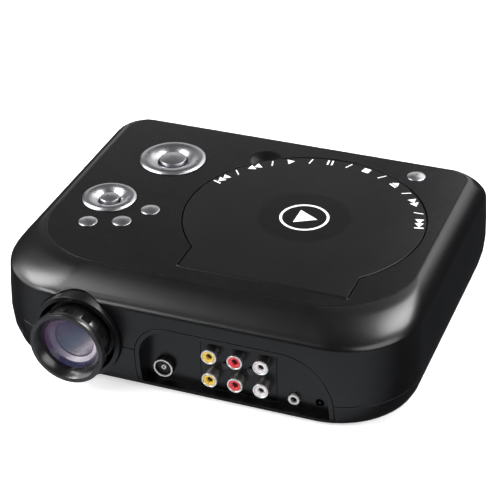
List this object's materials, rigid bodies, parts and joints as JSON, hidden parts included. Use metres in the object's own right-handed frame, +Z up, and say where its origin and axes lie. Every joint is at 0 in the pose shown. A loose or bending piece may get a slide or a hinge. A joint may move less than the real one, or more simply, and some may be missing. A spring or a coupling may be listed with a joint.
{
  "type": "portable video projector with disc player",
  "caption": "Compact box-shaped video projector with a side lens, a hinged round disc lid, rocker ring keys and a recessed bay of video, sound, aerial and power sockets.",
  "frame": {"origin": "on the surface the feet stand on, under the middle of the whole outline", "axes": "+Z up, +Y from the lens side to the back, +X to the right of someone facing the lens side"},
  "size_m": [0.228, 0.199, 0.0616],
  "materials": {
    "case_plastic": "satin black moulded plastic",
    "deck_plastic": "fine grained black plastic",
    "lid_plastic": "fine brushed black plastic",
    "inner_plastic": "plain black plastic",
    "key_plating": "satin plated plastic",
    "carrier_plastic": "natural white plastic",
    "lens_plastic": "semi-gloss black plastic",
    "coated_glass": "coated optical glass",
    "clear_glass": "clear optical glass",
    "image_glass": "dark liquid crystal panel",
    "rubber": "soft black rubber",
    "steel": "zinc plated or polished steel",
    "black_screw": "black oxide steel",
    "aluminium": "extruded",
    "tin_plating": "tin plated sheet",
    "yellow_plastic": "yellow",
    "red_plastic": "red",
    "white_plastic": "white",
    "socket_plastic": "black",
    "board_green": "coated circuit board",
    "part_black": "moulded chips and cans",
    "lamp_board": "white coated metal board",
    "gear_plastic": "natural acetal",
    "speaker_paper": "paper cone and steel magnet"
  },
  "bodies": {
    "housing": {"lower_shell": "case_plastic", "upper_shell": "case_plastic", "top_panel": "deck_plastic", "disc_well": "inner_plastic", "hinge_pins": "steel", "rubber_feet": "rubber", "case_screws": "black_screw", "key_board": "board_green", "key_switches": "part_black", "drive_chassis": "steel", "chassis_dampers": "rubber", "guide_rods": "steel", "spindle_motor": "steel", "feed_motor": "steel", "lens_collar": "case_plastic", "light_box": "inner_plastic", "image_panel": "image_glass", "fresnel_lens": "clear_glass", "condenser_lens": "clear_glass", "lamp_module": "lamp_board", "heat_sink": "aluminium", "fan_frame": "inner_plastic", "connector_bay": "case_plastic", "socket_block": "socket_plastic", "socket_shells": "tin_plating", "yellow_inserts": "yellow_plastic", "red_inserts": "red_plastic", "white_inserts": "white_plastic", "small_screws": "black_screw", "tuner_socket": "tin_plating", "tuner_contact": "tin_plating", "phone_socket": "tin_plating", "power_inlet": "socket_plastic", "main_board": "board_green", "board_parts": "part_black", "usb_socket": "tin_plating", "card_socket": "tin_plating", "speaker": "speaker_paper"},
    "lid": {"disc_lid": "lid_plastic"},
    "menu_carrier": {"menu_gimbal": "carrier_plastic"},
    "menu_rocker": {"menu_ring": "key_plating"},
    "menu_center": {"menu_button": "key_plating"},
    "volume_carrier": {"volume_gimbal": "carrier_plastic"},
    "volume_rocker": {"volume_ring": "key_plating"},
    "play_center": {"play_button": "key_plating"},
    "source_push": {"source_key": "key_plating"},
    "setup_push": {"setup_key": "key_plating"},
    "stop_push": {"stop_key": "key_plating"},
    "power_push": {"power_key": "key_plating"},
    "spindle": {"spindle_hub": "inner_plastic"},
    "sled": {"pickup_sled": "inner_plastic"},
    "gear": {"feed_gear": "gear_plastic"},
    "pinion": {"motor_pinion": "gear_plastic"},
    "holder": {"lens_holder": "part_black", "objective_lens": "clear_glass"},
    "barrel": {"lens_barrel": "lens_plastic", "front_glass": "coated_glass", "rear_glass": "coated_glass"},
    "focus": {"focus_ring": "lens_plastic"},
    "fan": {"fan_rotor": "inner_plastic"}
  },
  "joints": [
    {"name": "lid_hinge", "type": "hinge", "parent": "housing", "child": "lid", "pos_m": [0.0295, -0.0492, 0.0585], "axis": [1, 0, 0], "range_deg": [0, 75]},
    {"name": "menu_tilt_side", "type": "hinge", "parent": "housing", "child": "menu_carrier", "pos_m": [-0.0625, 0.0532, 0.0536], "axis": [0, 1, 0], "range_deg": [-1.8, 1.8], "stiffness_Nm_per_rad": 0.6},
    {"name": "menu_tilt_front", "type": "hinge", "parent": "menu_carrier", "child": "menu_rocker", "pos_m": [-0.0625, 0.0532, 0.0536], "axis": [1, 0, 0], "range_deg": [-1.8, 1.8], "stiffness_Nm_per_rad": 0.6},
    {"name": "menu_press", "type": "slide", "parent": "housing", "child": "menu_center", "axis": [0, 0, -1], "range_m": [0, 0.0006], "stiffness_N_per_m": 400},
    {"name": "volume_tilt_side", "type": "hinge", "parent": "housing", "child": "volume_carrier", "pos_m": [-0.0786, 0.0013, 0.0536], "axis": [0, 1, 0], "range_deg": [-1.8, 1.8], "stiffness_Nm_per_rad": 0.6},
    {"name": "volume_tilt_front", "type": "hinge", "parent": "volume_carrier", "child": "volume_rocker", "pos_m": [-0.0786, 0.0013, 0.0536], "axis": [1, 0, 0], "range_deg": [-1.8, 1.8], "stiffness_Nm_per_rad": 0.6},
    {"name": "play_press", "type": "slide", "parent": "housing", "child": "play_center", "axis": [0, 0, -1], "range_m": [0, 0.0006], "stiffness_N_per_m": 400},
    {"name": "source_press", "type": "slide", "parent": "housing", "child": "source_push", "axis": [0, 0, -1], "range_m": [0, 0.0006], "stiffness_N_per_m": 400},
    {"name": "setup_press", "type": "slide", "parent": "housing", "child": "setup_push", "axis": [0, 0, -1], "range_m": [0, 0.0006], "stiffness_N_per_m": 400},
    {"name": "stop_press", "type": "slide", "parent": "housing", "child": "stop_push", "axis": [0, 0, -1], "range_m": [0, 0.0006], "stiffness_N_per_m": 400},
    {"name": "power_press", "type": "slide", "parent": "housing", "child": "power_push", "axis": [0, 0, -1], "range_m": [0, 0.0006], "stiffness_N_per_m": 400},
    {"name": "spindle_spin", "type": "hinge", "parent": "housing", "child": "spindle", "pos_m": [0.0295, 0.0168, 0.0534], "axis": [0, 0, 1], "continuous": true},
    {"name": "sled_slide", "type": "slide", "parent": "housing", "child": "sled", "axis": [1, 0, 0], "range_m": [0, 0.034]},
    {"name": "gear_turn", "type": "hinge", "parent": "housing", "child": "gear", "pos_m": [0.0655, -0.0157, 0.0384], "axis": [0, 0, 1], "range_deg": [-325, 0]},
    {"name": "pinion_turn", "type": "hinge", "parent": "housing", "child": "pinion", "pos_m": [0.0535, -0.0157, 0.0358], "axis": [0, 0, 1], "range_deg": [0, 975]},
    {"name": "holder_float", "type": "slide", "parent": "sled", "child": "holder", "axis": [0, 0, 1], "range_m": [-0.0006, 0.0006], "stiffness_N_per_m": 200},
    {"name": "focus_slide", "type": "slide", "parent": "housing", "child": "barrel", "axis": [0, -1, 0], "range_m": [-0.004, 0.004]},
    {"name": "focus_turn", "type": "hinge", "parent": "barrel", "child": "focus", "pos_m": [-0.059, -0.0995, 0.0295], "axis": [0, 1, 0], "range_deg": [-170, 170]},
    {"name": "fan_spin", "type": "hinge", "parent": "housing", "child": "fan", "pos_m": [-0.059, 0.0781, 0.0295], "axis": [0, 1, 0], "continuous": true}
  ],
  "couplings": [
    {"joint": "gear_turn", "follows": "sled_slide", "rad_per_m": -166.67},
    {"joint": "pinion_turn", "follows": "sled_slide", "rad_per_m": 500},
    {"joint": "focus_turn", "follows": "focus_slide", "rad_per_m": 741}
  ]
}
